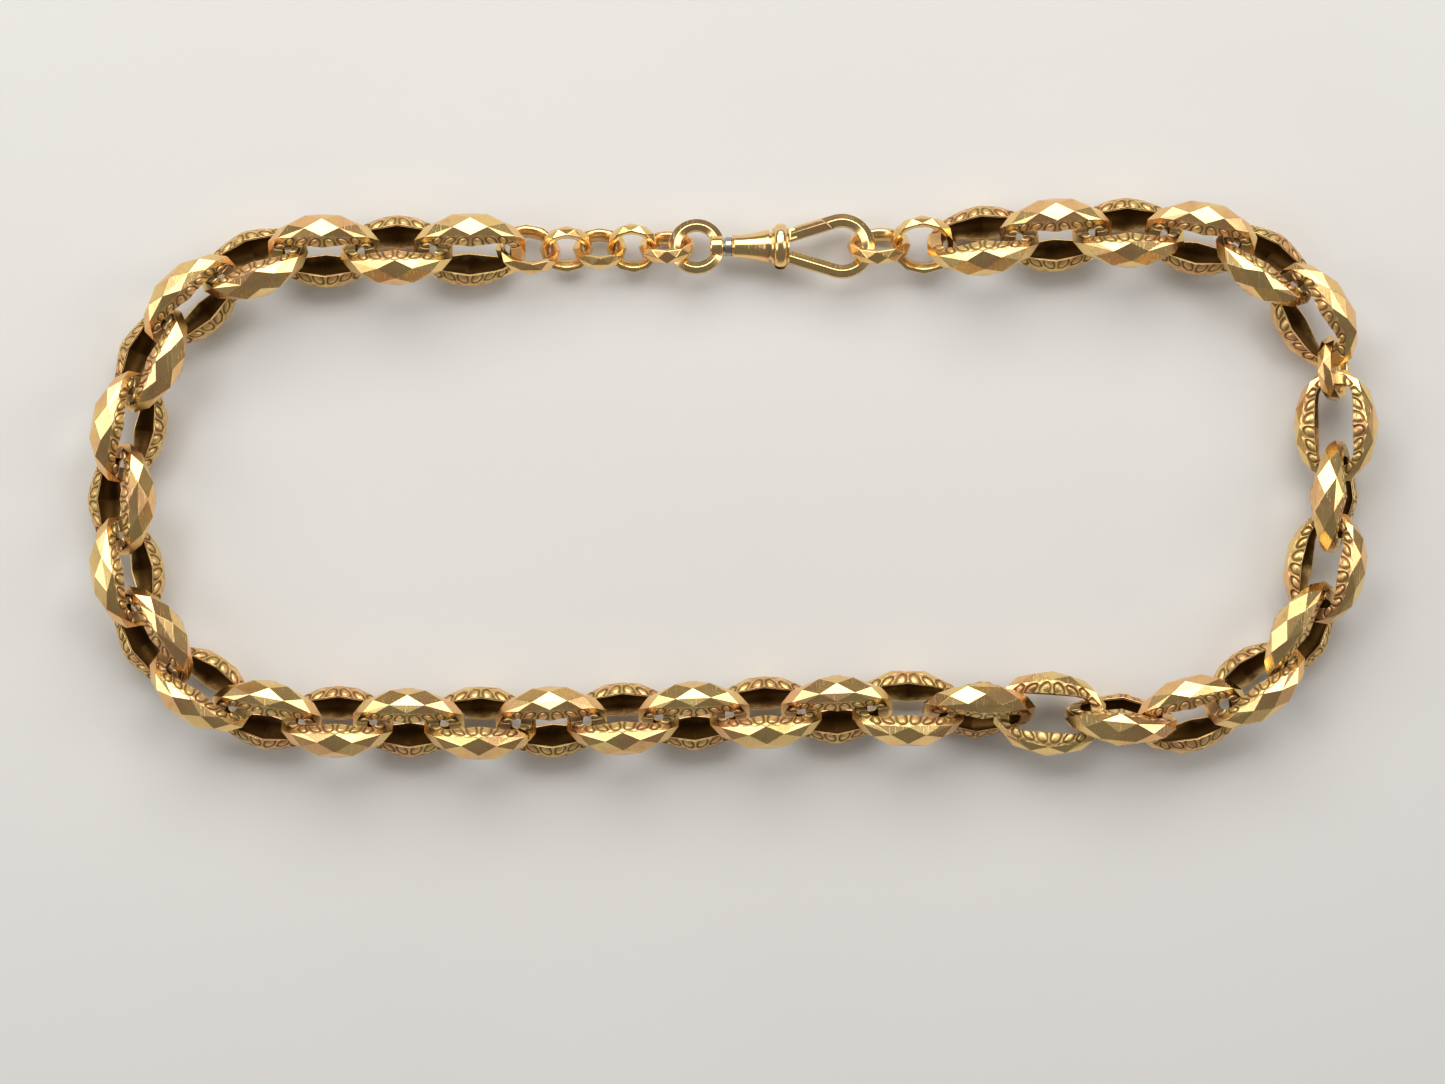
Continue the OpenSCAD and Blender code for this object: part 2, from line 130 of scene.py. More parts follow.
class Bench:
    """Makes the nodes of one tree."""

    def __init__(self, tree):
        self.tree = tree

    def add(self, kind, settings=None, sockets=None, output=0):
        """A node with its settings, then the values or links of its sockets. Gives one of its outputs."""
        node = self.tree.nodes.new(kind)
        for name, value in (settings or {}).items():
            setattr(node, name, value)
        for key, value in (sockets or {}).items():
            if isinstance(value, Field):
                self.tree.links.new(value.socket, node.inputs[key])
            else:
                node.inputs[key].default_value = value
        return Field(self, node.outputs[output]) if node.outputs else None

    def mix(self, factor, first, second):
        """Two colours mixed. The node's sockets 6 and 7 and its output 2 are the ones for colours."""
        return self.add("ShaderNodeMix", {"data_type": "RGBA"}, {0: factor, 6: first, 7: second}, 2)

    def attribute(self, name):
        return self.add("ShaderNodeAttribute", {"attribute_name": name}, output="Fac")

    def noise(self, place, scale, detail=2.0, roughness=0.5):
        sockets = {"Vector": place, "Scale": scale, "Detail": detail, "Roughness": roughness}
        return self.add("ShaderNodeTexNoise", None, sockets, "Fac")


def surface(name):
    material = bpy.data.materials.new(name)
    material.use_nodes = True
    material.node_tree.nodes.clear()
    return material, Bench(material.node_tree)


def finished(bench, **sockets):
    """Ends a material in one Principled shader with these sockets."""
    named = {key.replace("_", " "): value for key, value in sockets.items()}
    shader = bench.add("ShaderNodeBsdfPrincipled", None, named)
    bench.add("ShaderNodeOutputMaterial", None, {"Surface": shader})


# Punched crescents round the faces of a link, in millimetres along and across its band

PUNCH_PITCH, PUNCHES, PUNCH_RADIUS = 1.8, 4.0, 0.86
PUNCH_SHIFT, PUNCH_OPENING = 0.1, 0.6
RIM_WIDTH = 0.08
GROOVE_SHARE, GROOVE_WIDTH = 0.76, 0.15
DOME_TOP_SHARE, DOME_FOOT_SHARE = 0.3, 0.6


def ring_at(distance, radius, width):
    """1 on a ring of this radius, and falling away on both sides of it."""
    away = (distance - radius) / width
    return (-(away * away)).exponential()


def crescent(along, across, pitch, count, radius):
    """Rim, groove and dome of a row of punch marks, from 0 to 1, and the place along the nearest mark.

    The marks are open towards the hole.
    """
    place = ((along / pitch).fraction() - 0.5) * pitch
    out = across - PUNCH_SHIFT
    arm = out.lesser(PUNCH_OPENING * out)
    bend = (place * place + arm * arm) ** 0.5
    spread = (place * place + out * out) ** 0.5
    punched = along.below(count * pitch)
    rim = ring_at(bend, radius, RIM_WIDTH) * punched
    groove = ring_at(bend, radius * GROOVE_SHARE, GROOVE_WIDTH) * punched
    dome = (1 - spread.stepped(radius * DOME_TOP_SHARE, radius * DOME_FOOT_SHARE)) * punched
    return rim, groove, dome, place


# Finishes, with noise scales per metre and heights in millimetres

PATCH_SCALE, CLOUD_SCALE, GRAIN_SCALE = 190.0, 620.0, 3600.0
SCRATCH_TURN, SCRATCH_SCALES = (0.3, 0.5, 0.7), (5200, 340, 700)
CLOUD_HEIGHT, GRAIN_HEIGHT, SCRATCH_DEPTH = 0.006, 0.002, 0.005
RIM_HEIGHT, GROOVE_DEPTH, DOME_HEIGHT = 0.05, 0.09, 0.05
CLOUD_DULLNESS, SCRATCH_DULLNESS, GRIME_DULLNESS, BAND_DULLNESS = 0.12, 0.1, 0.3, 0.14
ROSE_SHARE, STAIN_SHARE, BAND_GRIME = 0.8, 0.18, 0.1
# Brown of stains, of grime, and of painted shade in hollows, bores and grooves
BROWN = (0.12, 0.06, 0.016, 1)
LATHE_SCALES, LATHE_DEPTH = (9000, 500, 500), 0.05


def worn_gold(name, yellow, rose, dullness, grime_and_shade_share, punched=False):
    """Old gold: yellow and rosy patches, fine scratches, and brown where a vertex attribute marks hollows
    and bores, which is real grime together with painted shade.
    """
    material, bench = surface(name)
    place = bench.add("ShaderNodeTexCoord", output="Object")
    patches = bench.noise(place, PATCH_SCALE, 3.0).stepped(0.42, 0.62)
    clouds = bench.noise(place, CLOUD_SCALE, 4.0, 0.6)
    grain = bench.noise(place, GRAIN_SCALE, 3.0, 0.6)
    turned = {"Vector": place, "Rotation": SCRATCH_TURN, "Scale": SCRATCH_SCALES}
    drawn = bench.add("ShaderNodeMapping", None, turned)
    scratches = bench.noise(drawn, 1.0, 3.0, 0.6).stepped(0.58, 0.72)
    # Painted shade with some grime: the attribute browns the hollows of links and the bores of rings, where
    # shade falls
    grime_and_shade = bench.attribute("grime_and_shade")
    dirt_and_shade = (grime_and_shade * (0.55 + 0.9 * clouds) * grime_and_shade_share).stepped(0.05, 0.95)
    height = CLOUD_HEIGHT * clouds + GRAIN_HEIGHT * grain - SCRATCH_DEPTH * scratches
    if punched:
        band = bench.attribute("band")
        marks = (bench.attribute("along"), bench.attribute("across"), PUNCH_PITCH, PUNCHES, PUNCH_RADIUS)
        rim, groove, dome, _ = crescent(*marks)
        height = height + (RIM_HEIGHT * rim - GROOVE_DEPTH * groove + DOME_HEIGHT * dome) * band
        # The band is a little browner all over, and its punched grooves are browned as painted shade of
        # their relief, with some grime
        dirt_and_shade = (dirt_and_shade + (BAND_GRIME + groove * (0.5 + 0.5 * clouds)) * band).lesser(1.0)
        dullness = dullness + BAND_DULLNESS * band
    gold = bench.mix(patches * ROSE_SHARE, yellow, rose)
    stained = bench.mix(clouds.stepped(0.5, 0.75) * STAIN_SHARE, gold, BROWN)
    colour = bench.mix(dirt_and_shade, stained, BROWN)
    roughness = dullness + CLOUD_DULLNESS * clouds + SCRATCH_DULLNESS * scratches + GRIME_DULLNESS * dirt_and_shade
    normal = bench.add("ShaderNodeBump", None, {"Strength": 1.0, "Distance": MM, "Height": height})
    finished(bench, Base_Color=colour, Metallic=1.0, Roughness=roughness, Normal=normal)
    return material


def turned_steel():
    """Grey steel with the fine lines of a lathe."""
    material, bench = surface("turned_steel")
    place = bench.add("ShaderNodeTexCoord", output="Object")
    drawn = bench.add("ShaderNodeMapping", None, {"Vector": place, "Scale": LATHE_SCALES})
    lines = bench.noise(drawn, 1.0, 2.0)
    colour = bench.mix(lines, (0.52, 0.51, 0.49, 1), (0.36, 0.34, 0.31, 1))
    relief = {"Strength": 0.1, "Distance": LATHE_DEPTH * MM, "Height": lines}
    normal = bench.add("ShaderNodeBump", None, relief)
    finished(bench, Base_Color=colour, Metallic=1.0, Roughness=0.25 + 0.15 * lines, Normal=normal)
    return material


link_gold = worn_gold(
    "link_gold", (0.95, 0.67, 0.27, 1), (0.93, 0.53, 0.25, 1), dullness=0.17, grime_and_shade_share=1.0, punched=True
)
ring_gold = worn_gold(
    "ring_gold", (0.95, 0.65, 0.26, 1), (0.93, 0.56, 0.24, 1), dullness=0.15, grime_and_shade_share=0.6
)
clip_gold = worn_gold(
    "clip_gold", (0.95, 0.67, 0.29, 1), (0.93, 0.59, 0.27, 1), dullness=0.14, grime_and_shade_share=0.6
)
steel = turned_steel()


# Geometry Nodes that punch the faces of a blank and lay it in its place

SCALLOP_FULL, SCALLOP_START = -0.85, -0.45


def laying_tree():
    tree = bpy.data.node_groups.new("punched_and_laid", "GeometryNodeTree")
    wires = tree.interface
    wires.new_socket("Geometry", in_out="INPUT", socket_type="NodeSocketGeometry")
    for name, kind in (
        ("Place", "NodeSocketVector"),
        ("Turn", "NodeSocketRotation"),
        ("Punch pitch", "NodeSocketFloat"),
        ("Punches", "NodeSocketFloat"),
        ("Punch radius", "NodeSocketFloat"),
        ("Groove depth", "NodeSocketFloat"),
        ("Dome height", "NodeSocketFloat"),
        ("Scallop", "NodeSocketFloat"),
        ("Finish", "NodeSocketMaterial"),
    ):
        wires.new_socket(name, in_out="INPUT", socket_type=kind)
    wires.new_socket("Geometry", in_out="OUTPUT", socket_type="NodeSocketGeometry")
    bench = Bench(tree)
    source = tree.nodes.new("NodeGroupInput")
    sink = tree.nodes.new("NodeGroupOutput")

    def given(name):
        return Field(bench, source.outputs[name])

    def marked(name):
        settings = {"data_type": "FLOAT"}
        return bench.add("GeometryNodeInputNamedAttribute", settings, {"Name": name}, "Attribute")

    pitch = given("Punch pitch")
    across = marked("across")
    marks = (marked("along"), across, pitch, given("Punches"), given("Punch radius"))
    _, groove, dome, place = crescent(*marks)
    between = 2 * place / pitch
    edge = 1 - across.stepped(SCALLOP_FULL, SCALLOP_START)
    scallop = between * between * edge * given("Scallop")
    lift = (dome * given("Dome height") - groove * given("Groove depth") - scallop) * marked("side")
    offset = bench.add("ShaderNodeCombineXYZ", None, {"Z": lift})
    moved = bench.add("GeometryNodeSetPosition", None, {"Geometry": given("Geometry"), "Offset": offset})
    laid = bench.add(
        "GeometryNodeTransform",
        None,
        {"Geometry": moved, "Translation": given("Place"), "Rotation": given("Turn"), "Scale": (MM, MM, MM)},
    )
    whole = bench.add("GeometryNodeRealizeInstances", None, {"Geometry": laid})
    coated = bench.add("GeometryNodeSetMaterial", None, {"Geometry": whole, "Material": given("Finish")})
    tree.links.new(coated.socket, sink.inputs["Geometry"])
    return tree


LAYING = laying_tree()
RELIEF = {
    "Punch pitch": PUNCH_PITCH, "Punches": PUNCHES, "Punch radius": PUNCH_RADIUS,
    "Groove depth": 0.1, "Dome height": 0.03, "Scallop": 0.18,
}


def plain_mesh(worker):
    """The mesh that an object's modifiers give. The object is removed."""
    graph = bpy.context.evaluated_depsgraph_get()
    mesh = bpy.data.meshes.new_from_object(
        worker.evaluated_get(graph), preserve_all_data_layers=True, depsgraph=graph
    )
    bpy.data.objects.remove(worker)
    return mesh


def show(mesh, name, finish, node, body):
    """Puts a finished mesh in the scene, in place of a node."""
    mesh.name = name
    mesh.materials.clear()
    mesh.materials.append(finish)
    piece = bpy.data.objects.new(name, mesh)
    bpy.context.scene.collection.objects.link(piece)
    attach(piece, body)
    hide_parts(node)


def lay(blank, name, place, turn, finish, node):
    """A copy of the blank, punched and laid at place, that stands for one node, which is its own body."""
    worker = bpy.data.objects.new(name + "_worker", blank)
    bpy.context.scene.collection.objects.link(worker)
    modifier = worker.modifiers.new("laying", "NODES")
    modifier.node_group = LAYING
    values = dict(RELIEF, Place=place, Turn=turn.to_euler(), Finish=finish)
    for item in LAYING.interface.items_tree:
        if item.in_out == "INPUT" and item.name in values:
            modifier[item.identifier] = values[item.name]
    show(plain_mesh(worker), name, finish, node, node)


# Blanks, in millimetres, in their own frames

FACET_BEVEL = 0.07


def oval(angle, length, width):
    """Corner of a faceted oval, whose end facets stand at its full length."""
    return np.array([length / 2 / math.cos(STATION) * math.cos(angle), width / 2 * math.sin(angle)])


def hole_edge(angle):
    def powered(v):
        return math.copysign(abs(v) ** HOLE_POWER, v)

    return np.array([HOLE_LENGTH / 2 * powered(math.cos(angle)), HOLE_WIDTH / 2 * powered(math.sin(angle))])


def half_depth(x):
    return (LINK_DEPTH + (LINK_END_DEPTH - LINK_DEPTH) * abs(x) / (LINK_LENGTH / 2)) / 2


def shoulder(x):
    share = SHOULDER_MIDDLE + (SHOULDER_END - SHOULDER_MIDDLE) * abs(x) / (LINK_LENGTH / 2)
    return half_depth(x) * share


def sampled(corners, per_side):
    """Points along a closed polygon, per_side on each of its sides."""
    points = []
    for first, second in zip(corners, corners[1:] + corners[:1]):
        points += [first + (second - first) * k / per_side for k in range(per_side)]
    return points


def joined(bm, first, second):
    """Quads between two closed rows of as many corners."""
    made = []
    for k in range(len(first)):
        after = (k + 1) % len(first)
        made.append(bm.faces.new((first[k], first[after], second[after], second[k])))
    return made


def faceted(bm, outside, name):
    """Ends a blank: fine bevels round the facets outside, and all the rest shaded smooth."""
    bmesh.ops.recalc_face_normals(bm, faces=bm.faces)
    for face in bm.faces:
        face.smooth = True
    bounds = set()
    for face in outside:
        bounds.update(face.edges)
    for edge in bounds:
        edge.smooth = False
    bevelled = bmesh.ops.bevel(
        bm, geom=list(bounds), offset=FACET_BEVEL, segments=2, profile=0.6,
        affect="EDGES", clamp_overlap=True,
    )
    for face in bevelled["faces"]:
        for edge in face.edges:
            edge.smooth = False
    mesh = bpy.data.meshes.new(name)
    bm.to_mesh(mesh)
    bm.free()
    return mesh


# Rows of a link's face as shares from the hole's edge, and its two corners at the middles of the arms
PER_SIDE = 24
EDGE_SHARE, BAND_SHARE, BAND_ROWS = 0.92, 0.85, 14
ACROSS = [1.0] + [EDGE_SHARE - BAND_SHARE * k / BAND_ROWS for k in range(BAND_ROWS + 1)]
ARM_CORNERS = (2, 7)
# Rows over the sheet's edge: share from the hole's edge, depth below the face, and brown of patina and
# painted shade
SHEET_EDGE = ((0.02, 0.03, 0.0), (0.0, 0.1, 0.0), (0.0, SHEET - 0.05, 0.25), (0.03, SHEET, 0.7))


def punch_marks():
    """Outer and inner row of the flat face, and where their points lie along the band of punches."""
    outer = sampled([oval(a, FACE_LENGTH, FACE_WIDTH) for a in ODD], PER_SIDE)
    corners = []
    for a in ODD:
        corners += [hole_edge(a), hole_edge(a + STATION)]
    inner = sampled(corners, PER_SIDE // 2)
    middle = [(o + i) / 2 for o, i in zip(outer, inner)]
    count = len(outer)
    steps = [np.linalg.norm(middle[(k + 1) % count] - middle[k]) for k in range(count)]
    along = [0.0] * count
    for corner in ARM_CORNERS:
        start = corner * PER_SIDE
        for way in (1, -1):
            length = 0.0
            for k in range(1, count // 4 + 1):
                length += steps[(start + k - 1) % count if way == 1 else (start - k) % count]
                along[(start + way * k) % count] = length
    return outer, inner, along


def link_blank():
    outer, inner, along = punch_marks()
    bm = bmesh.new()
    layers = {n: bm.verts.layers.float.new(n) for n in ("along", "across", "side", "grime_and_shade")}
    band = bm.faces.layers.float.new("band")

    def row(points, heights, t=0.5, side=0.0, grime_and_shade=0.0):
        made = []
        for k, (v, z) in enumerate(zip(points, heights)):
            corner = bm.verts.new((v[0], v[1], z))
            corner[layers["along"]] = along[k]
            corner[layers["across"]] = (0.5 - t) * np.linalg.norm(outer[k] - inner[k])
            corner[layers["side"]] = side
            corner[layers["grime_and_shade"]] = grime_and_shade
            made.append(corner)
        return made

    def half(side):
        """Rows of one face, from its outer edge over the sheet's edge to the ridge of the hollow."""
        made = []
        for t in ACROSS:
            points = [i + (o - i) * t for o, i in zip(outer, inner)]
            made.append(row(points, [side * half_depth(v[0]) for v in points], t, side))
        for t, drop, grime_and_shade in SHEET_EDGE:
            points = [i + (o - i) * t for o, i in zip(outer, inner)]
            made.append(row(points, [side * (half_depth(v[0]) - drop) for v in points], grime_and_shade=grime_and_shade))
        hollow = sampled([oval(a, FACE_LENGTH - 2 * SHEET, FACE_WIDTH - 2 * SHEET) for a in ODD], PER_SIDE)
        # The hollow is brown all over: patina together with painted shade of the deep recess
        made.append(row(hollow, [side * (half_depth(v[0]) - SHEET) for v in hollow], grime_and_shade=1.0))
        return made

    top = half(1)
    low = half(-1)
    deep = sampled([oval(a, LINK_LENGTH - 2 * SHEET, LINK_WIDTH - 2 * SHEET) for a in ODD], PER_SIDE)
    # The ridge inside the hollow is brown too: patina and painted shade
    ridge_inside = row(deep, [0.0] * len(deep), grime_and_shade=1.0)
    for rows in (top, low):
        for k, (first, second) in enumerate(zip(rows, rows[1:])):
            for face in joined(bm, first, second):
                face[band] = k < len(ACROSS)
        joined(bm, rows[-1], ridge_inside)

    def corners(points, heights):
        return [bm.verts.new((v[0], v[1], z)) for v, z in zip(points, heights)]

    shoulders = [oval(a, LINK_LENGTH, LINK_WIDTH) * math.cos(STATION) for a in EVEN]
    ridge = corners([oval(a, LINK_LENGTH, LINK_WIDTH) for a in ODD], [0.0] * FACETS)
    sides = {s: corners(shoulders, [s * shoulder(v[0]) for v in shoulders]) for s in (1, -1)}
    outside = []
    for s, edge in ((1, top[0]), (-1, low[0])):
        for j in range(FACETS):
            after = (j + 1) % FACETS
            rim = [edge[(j * PER_SIDE + k) % len(edge)] for k in range(PER_SIDE + 1)]
            outside.append(bm.faces.new(rim + [sides[s][after]]))
            outside.append(bm.faces.new((rim[0], sides[s][after], sides[s][j])))
            outside.append(bm.faces.new((sides[s][j], sides[s][after], ridge[j])))
    for j in range(FACETS):
        after = (j + 1) % FACETS
        outside.append(bm.faces.new((ridge[j], sides[1][after], ridge[after], sides[-1][after])))
    return faceted(bm, outside, "link_blank")


RING_PER_SIDE, RING_ROWS, LIP_POWER = 6, 8, 1.4
# Brown in a ring's bore, light at its lips and deepest at its middle: grime together with painted shade of
# the bore
LIP_GRIME_AND_SHADE, BORE_GRIME_AND_SHADE = 0.15, 0.5


def ring_blank(diameter):
    half = RING_DEPTH / 2
    inside = diameter / 2 - RING_WIRE
    top_r = diameter / 2 - RING_BEVEL
    bm = bmesh.new()
    grime_and_shade_layer = bm.verts.layers.float.new("grime_and_shade")

    def row(points, z, grime_and_shade):
        made = [bm.verts.new((v[0], v[1], z)) for v in points]
        for corner in made:
            corner[grime_and_shade_layer] = grime_and_shade
        return made

    def circle(radius):
        angles = [STATION + 2 * STATION * k / RING_PER_SIDE for k in range(FACETS * RING_PER_SIDE)]
        return [np.array([radius * math.cos(a), radius * math.sin(a)]) for a in angles]

    edge = sampled([top_r * np.array([math.cos(a), math.sin(a)]) for a in ODD], RING_PER_SIDE)
    rows = [row(edge, half, 0.0)]
    for k in range(RING_ROWS + 1):
        z = half * (1 - 2 * k / RING_ROWS)
        out = abs(z / half)
        # The bore browns towards its middle: painted shade with grime
        rows.append(row(circle(inside + RING_LIP * out ** LIP_POWER), z, LIP_GRIME_AND_SHADE + BORE_GRIME_AND_SHADE * (1 - out)))
    rows.append(row(edge, -half, 0.0))
    for first, second in zip(rows, rows[1:]):
        joined(bm, first, second)
    rim = [bm.verts.new((diameter / 2 * math.cos(a), diameter / 2 * math.sin(a), 0)) for a in EVEN]
    outside = []
    for edge_row in (rows[0], rows[-1]):
        for j in range(FACETS):
            after = (j + 1) % FACETS
            side = [edge_row[(j * RING_PER_SIDE + k) % len(edge_row)] for k in range(RING_PER_SIDE + 1)]
            outside.append(bm.faces.new(side + [rim[after]]))
            outside.append(bm.faces.new((side[0], rim[after], rim[j])))
    return faceted(bm, outside, "ring_blank")


def block(middle, size):
    """A box of this size about a middle."""
    bm = bmesh.new()
    bmesh.ops.create_cube(bm, size=1.0)
    bmesh.ops.scale(bm, vec=size, verts=bm.verts)
    bmesh.ops.translate(bm, vec=middle, verts=bm.verts)
    return bm


def cut(mesh, name, tool, operation="DIFFERENCE"):
    """The mesh with the tool taken out of it, or joined to it by UNION."""
    worker = bpy.data.objects.new(name, mesh)
    helper = bpy.data.objects.new(name + "_tool", tool)
    for made in (worker, helper):
        bpy.context.scene.collection.objects.link(made)
    modifier = worker.modifiers.new("cut", "BOOLEAN")
    modifier.operation = operation
    modifier.solver = "EXACT"
    modifier.object = helper
    result = plain_mesh(worker)
    bpy.data.objects.remove(helper)
    return result


def parted(blank):
    """A link's blank with a slit through one corner of its wall."""
    bm = block((LINK_LENGTH / 2, 0, 0), (LINK_LENGTH, SEAM_WIDTH, 2 * LINK_DEPTH))
    bmesh.ops.rotate(bm, cent=(0, 0, 0), matrix=Matrix.Rotation(SEAM_ANGLE, 3, "Z"), verts=bm.verts)
    slit = bpy.data.meshes.new("slit")
    bm.to_mesh(slit)
    bm.free()
    return cut(blank, "parted_blank", slit)


# Where the solids lie

RIDGE_CORNERS = np.array([(*oval(a, LINK_LENGTH, LINK_WIDTH), 0.0) for a in ODD])
PAIR_REACH, CORNER_REACH = 0.002 * MM, 0.8 * MM


def corners_of(node):
    points = np.array([v.co for v in nodes[node].data.vertices])
    return np.unique(np.round(points, 7), axis=0)


def lie_of_link(node):
    """Middle and turn of a link, with x to the left and z up.

    The axes are guessed from the corners that have a partner across the middle, so that a slit has no say.
    The turn is then the one that best lays the ridge's corners on those of the solid.
    """
    points = corners_of(node)
    middle = (points.min(0) + points.max(0)) / 2
    reach = points - middle
    paired = np.array([r for r in reach if np.linalg.norm(reach + r, axis=1).min() < PAIR_REACH])
    _, vectors = np.linalg.eigh(paired.T @ paired)
    x, z = vectors[:, 2], vectors[:, 0]
    x = -x if x[0] > 0 else x
    z = -z if z[2] < 0 else z
    found = []
    for guess in RIDGE_CORNERS * MM @ np.array([x, np.cross(z, x), z]):
        near = reach[np.linalg.norm(reach - guess, axis=1) < CORNER_REACH]
        found.append(near[np.argmax(np.linalg.norm(near, axis=1))])
    first, _, last = np.linalg.svd(np.array(found).T @ RIDGE_CORNERS)
    last[2] *= np.linalg.det(first @ last)
    return Vector(middle), Matrix((first @ last).tolist()).to_quaternion()


def lie_of_ring(node):
    """Middle and turn of a ring: its axis is the short one, and x points at one of its outer corners."""
    points = corners_of(node)
    middle = points.mean(0)
    reach = points - middle
    _, vectors = np.linalg.eigh(np.cov(reach.T))
    z = vectors[:, 0]
    far = reach[np.argmax(np.linalg.norm(reach, axis=1))]
    x = far - z * np.dot(far, z)
    x /= np.linalg.norm(x)
    y = np.cross(z, x)
    return Vector(middle), Matrix(np.array([x, y, z]).T.tolist()).to_quaternion()


blank = link_blank()
for number in range(1, LINKS + 1):
    node = f"link_{number:02d}"
    place, turn = lie_of_link(node)
    shape = parted(blank) if number == PARTED_LINK else blank
    lay(shape, f"punched_link_{number:02d}", place, turn, link_gold, node)

for node, diameter in RING_DIAMETERS.items():
    place, turn = lie_of_ring(node)
    lay(ring_blank(diameter), f"faceted_{node}", place, turn, ring_gold, node)


# Swivel clip, in millimetres along its own axis, with x = 0 at the bead's outer face

RUNNING_GAP = 0.1
BEAD_LENGTH, BEAD_D, GROOVE = 2.4, 6.2, 0.35
BARREL_LENGTH, BARREL_SMALL_D, BARREL_LARGE_D = 5.0, 3.2, 4.6
COLLAR_LENGTH, COLLAR_D, COLLAR_EDGE = 1.0, 2.6, 0.12
BOSS_D, BOSS_LENGTH, BOSS_ROUND = 3.0, 1.9, 0.35
STUD_D, STUD_DEPTH, HEAD_D, HEAD_LENGTH = 1.5, 3.0, 2.2, 0.5
SWIVEL_D, SWIVEL_BAND, SWIVEL_DEPTH = 7.6, 1.65, 1.6
BOW_WIDTH, BOW_LENGTH, BOW_BAR, BOW_DEPTH, ARM_SPACING = 8.9, 11.55, 1.8, 1.8, 3.0
ARM_ROOT, GATE_LENGTH, JOINT_SLANT = -0.5, 5.2, math.radians(37)
TONGUE_DEPTH, SLOT_FLOOR = 1.3, 0.4
BAR_EDGE, BAR_CHAMFER, GATE_ROUND = 0.35, 0.06, 0.08

BARREL_END = -BEAD_LENGTH - GROOVE - BARREL_LENGTH
BOSS_END = BARREL_END - COLLAR_LENGTH - RUNNING_GAP
BOSS_START = BOSS_END - BOSS_LENGTH
SWIVEL_X = BOSS_END - SWIVEL_D / 2 + RUNNING_GAP

# Turned steps: x from the step's own face, and radius from the barrel's mouth or as a share of the head's
BARREL_EDGE, RIM_LENGTH, FLARE_INSET = 0.15, 0.5, 0.06
RIM_STEPS = ((-0.46, -0.18), (-0.38, -0.18), (-0.34, -0.02), (-0.06, 0.0), (0.0, -0.08), (0.0, -GROOVE))
NEAR_FILLET = ((0.0, -GROOVE), (0.0, 0.12), (0.22, 0.2), (0.3, 0.12))
FAR_FILLET = ((-0.3, 0.12), (-0.22, 0.2), (-0.04, 0.14), (0.0, 0.05))
BEAD_FOOT, BEAD_ROUND, BEAD_POWER = 0.2, 0.85, 0.8
HEAD_DOME = ((0.03, 0.5), (0.14, 0.82), (0.3, 1.0))

LATHE_STEPS, SWIVEL_STEPS, BOW_STEPS = 72, 96, 64
FLARE_STEPS, BEAD_STEPS, EDGE_STEPS = 14, 12, 5
MERGE, SHARP, GATE_SHARP = 1e-4, math.radians(20), math.radians(25)


def clip_lie():
    """Place and turn of the clip's own frame, from its two axes and the end of its barrel."""
    joints = {j["name"]: j for j in frame["joints"]}
    axis = Vector(joints["clip_swivel"]["axis"]).normalized()
    start = Vector(joints["clip_swivel"]["pos_m"])
    bead_face = max((Vector(v) - start).dot(axis) for v in corners_of("barrel"))
    up = -Vector(joints["gate_hinge"]["axis"]).normalized()
    turn = Matrix((axis, up.cross(axis), up)).transposed()
    return start + axis * bead_face, turn


CLIP_PLACE, CLIP_TURN = clip_lie()


def as_mesh(bm, name):
    """A clip piece as a mesh, carried from millimetres in the clip's frame to its place."""
    bmesh.ops.remove_doubles(bm, verts=bm.verts, dist=MERGE)
    bmesh.ops.recalc_face_normals(bm, faces=bm.faces)
    for face in bm.faces:
        face.smooth = True
    matrix = Matrix.Translation(CLIP_PLACE) @ CLIP_TURN.to_4x4() @ Matrix.Scale(MM, 4)
    bmesh.ops.transform(bm, matrix=matrix, verts=bm.verts)
    mesh = bpy.data.meshes.new(name)
    bm.to_mesh(mesh)
    bm.free()
    mesh.set_sharp_from_angle(angle=SHARP)
    return mesh


def lathe(outline, name):
    """Turns an outline of (x, radius) about the clip's axis. A radius of 0 is a point on the axis."""
    bm = bmesh.new()
    angles = [2 * math.pi * k / LATHE_STEPS for k in range(LATHE_STEPS)]
    rings = []
    for x, radius in outline:
        if radius == 0:
            rings.append([bm.verts.new((x, 0, 0))])
        else:
            rings.append([bm.verts.new((x, radius * math.cos(a), radius * math.sin(a))) for a in angles])
    for first, second in zip(rings, rings[1:]):
        for k in range(LATHE_STEPS):
            quad = [first[k % len(first)], first[(k + 1) % len(first)]]
            quad += [second[(k + 1) % len(second)], second[k % len(second)]]
            bm.faces.new(list(dict.fromkeys(quad)))
    return as_mesh(bm, name)


def roof(width, depth):
    """Section of a flat bar with a low roof above and below, its corners cut off."""
    outline = [
        (-width / 2, -BAR_EDGE), (0, -depth / 2), (width / 2, -BAR_EDGE),
        (width / 2, BAR_EDGE), (0, depth / 2), (-width / 2, BAR_EDGE),
    ]
    points = []
    for k, corner in enumerate(outline):
        for neighbour in (outline[k - 1], outline[(k + 1) % len(outline)]):
            side = Vector(neighbour) - Vector(corner)
            points.append(Vector(corner) + side.normalized() * BAR_CHAMFER)
    return points


def bent(section, x, radius, angle):
    """A bar's section where the bar runs round a point of the clip's axis."""
    return [(x + (radius + v.x) * math.cos(angle), (radius + v.x) * math.sin(angle), v.y) for v in section]


def swept(rings, name, closed=False):
    """Skin over rings of as many points, with its ends capped unless it closes on itself."""
    bm = bmesh.new()
    made = [[bm.verts.new(v) for v in ring] for ring in rings]
    pairs = list(zip(made, made[1:]))
    if closed:
        pairs.append((made[-1], made[0]))
    for first, second in pairs:
        joined(bm, first, second)
    if not closed:
        bm.faces.new(made[0])
        bm.faces.new(made[-1])
    return as_mesh(bm, name)


